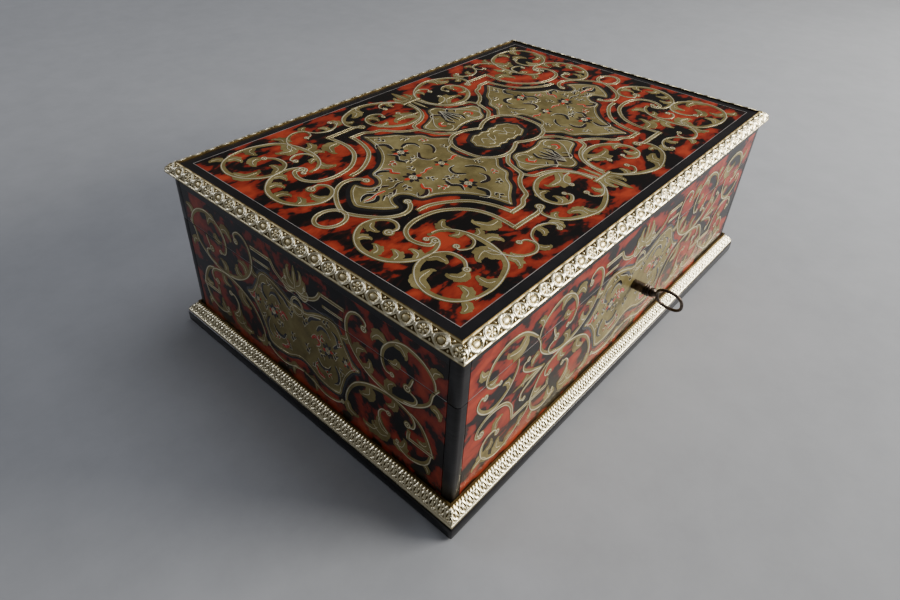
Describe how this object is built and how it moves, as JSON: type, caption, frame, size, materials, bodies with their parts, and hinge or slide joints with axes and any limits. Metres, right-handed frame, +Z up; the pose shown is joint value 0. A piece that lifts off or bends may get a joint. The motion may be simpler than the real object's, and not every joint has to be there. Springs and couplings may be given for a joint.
{
  "type": "wind-up music box",
  "caption": "Rectangular casket with inlaid sides and lid, brass mouldings, hinged lid, lock and key, and a lever-wound cylinder music movement under a glass cover.",
  "frame": {"origin": "centre of the base board's underside", "axes": "+X along the length to the right of someone facing the lock, -Y out of the front that has the lock, +Z up"},
  "size_m": [0.334, 0.2494, 0.115],
  "materials": {
    "ebonised_wood": "black-stained pearwood, French polished",
    "carcase_oak": "planed oak, waxed",
    "shell_and_brass_marquetry": "red tortoiseshell inlaid with engraved brass, polished",
    "gilt_brass_moulding": "stamped brass, old lacquer",
    "movement_brass": "grained and lacquered",
    "polished_steel": "polished",
    "patinated_key_steel": "worn, darkened by handling",
    "cast_iron_bed": "cast, painted with bronze powder",
    "clear_glass": "clear, ground edges"
  },
  "bodies": {
    "case": {"base_board": "ebonised_wood", "base_moulding_back": "gilt_brass_moulding", "base_moulding_front": "gilt_brass_moulding", "base_moulding_left": "gilt_brass_moulding", "base_moulding_right": "gilt_brass_moulding", "bedplate": "cast_iron_bed", "bridge_left": "movement_brass", "bridge_middle": "movement_brass", "bridge_right": "movement_brass", "case_marquetry_back": "shell_and_brass_marquetry", "case_marquetry_front": "shell_and_brass_marquetry", "case_marquetry_left": "shell_and_brass_marquetry", "case_marquetry_right": "shell_and_brass_marquetry", "case_post_back_left": "ebonised_wood", "case_post_back_right": "ebonised_wood", "case_post_front_left": "ebonised_wood", "case_post_front_right": "ebonised_wood", "case_wall_back": "carcase_oak", "case_wall_front": "carcase_oak", "case_wall_left": "carcase_oak", "case_wall_right": "carcase_oak", "comb": "polished_steel", "comb_base": "movement_brass", "glass_cover": "clear_glass", "governor_frame": "movement_brass", "hinge_leaf_case_left": "movement_brass", "hinge_leaf_case_right": "movement_brass", "hinge_pin_left": "polished_steel", "hinge_pin_right": "polished_steel", "lock_case": "movement_brass", "partition_left": "carcase_oak", "partition_right": "carcase_oak"},
    "lid": {"lid_board": "ebonised_wood", "lid_frame": "carcase_oak", "lid_post_front_left": "ebonised_wood", "lid_post_front_right": "ebonised_wood", "lid_post_back_left": "ebonised_wood", "lid_post_back_right": "ebonised_wood", "lid_marquetry_front": "shell_and_brass_marquetry", "lid_marquetry_back": "shell_and_brass_marquetry", "lid_marquetry_left": "shell_and_brass_marquetry", "lid_marquetry_right": "shell_and_brass_marquetry", "lid_marquetry_top": "shell_and_brass_marquetry", "lid_moulding_front": "gilt_brass_moulding", "lid_moulding_back": "gilt_brass_moulding", "lid_moulding_left": "gilt_brass_moulding", "lid_moulding_right": "gilt_brass_moulding", "hinge_leaf_lid_left": "movement_brass", "hinge_leaf_lid_right": "movement_brass", "strike_plate": "movement_brass"},
    "key": {"key": "patinated_key_steel"},
    "bolt": {"lock_bolt": "polished_steel"},
    "winding_lever": {"winding_lever": "polished_steel"},
    "winding_arbor": {"winding_arbor": "polished_steel"},
    "spring_barrel": {"spring_barrel": "movement_brass"},
    "cylinder_arbor": {"cylinder_arbor": "polished_steel"},
    "pinned_cylinder": {"pinned_cylinder": "movement_brass"},
    "governor_wheel": {"governor_wheel": "polished_steel"},
    "fly": {"fly": "polished_steel"},
    "play_lever": {"play_lever": "polished_steel"}
  },
  "joints": [
    {"name": "lid_hinge", "type": "hinge", "parent": "case", "child": "lid", "pos_m": [0, 0.1083, 0.0796], "axis": [-1, 0, 0], "range_deg": [0, 100]},
    {"name": "key_turn", "type": "hinge", "parent": "case", "child": "key", "pos_m": [0, -0.106, 0.0564], "axis": [0, -1, 0], "range_deg": [-22, 158.01]},
    {"name": "bolt_throw", "type": "slide", "parent": "case", "child": "bolt", "axis": [1, 0, 0], "range_m": [-0.00076, 0.0055]},
    {"name": "lever_wind", "type": "hinge", "parent": "case", "child": "winding_lever", "pos_m": [-0.11, -0.0204, 0.0405], "axis": [1, 0, 0], "range_deg": [0, 75]},
    {"name": "arbor_turn", "type": "hinge", "parent": "case", "child": "winding_arbor", "pos_m": [-0.1056, -0.0204, 0.0405], "axis": [1, 0, 0], "range_deg": [0, 75]},
    {"name": "cylinder_spin", "type": "hinge", "parent": "case", "child": "cylinder_arbor", "pos_m": [0, 0.012, 0.0405], "axis": [1, 0, 0], "continuous": true},
    {"name": "barrel_spin", "type": "hinge", "parent": "case", "child": "spring_barrel", "pos_m": [-0.0556, -0.0204, 0.0405], "axis": [1, 0, 0], "continuous": true},
    {"name": "governor_spin", "type": "hinge", "parent": "case", "child": "governor_wheel", "pos_m": [0.0755, 0.0345, 0.0405], "axis": [1, 0, 0], "continuous": true},
    {"name": "fly_spin", "type": "hinge", "parent": "case", "child": "fly", "pos_m": [0.088, 0.043, 0.0405], "axis": [0, 0, 1], "continuous": true},
    {"name": "tune_shift", "type": "slide", "parent": "cylinder_arbor", "child": "pinned_cylinder", "axis": [1, 0, 0], "range_m": [0, 0.0009], "stiffness_N_per_m": 400},
    {"name": "play_lever_turn", "type": "hinge", "parent": "case", "child": "play_lever", "pos_m": [0.0936, 0.008, 0.056], "axis": [0, 0, 1], "range_deg": [0, 11]}
  ],
  "couplings": [
    {"joint": "key_turn", "follows": "bolt_throw", "rad_per_m": 501.39},
    {"joint": "arbor_turn", "follows": "lever_wind", "ratio": 1},
    {"joint": "barrel_spin", "follows": "cylinder_spin", "ratio": -0.33333},
    {"joint": "governor_spin", "follows": "cylinder_spin", "ratio": -4},
    {"joint": "fly_spin", "follows": "cylinder_spin", "ratio": 80}
  ]
}
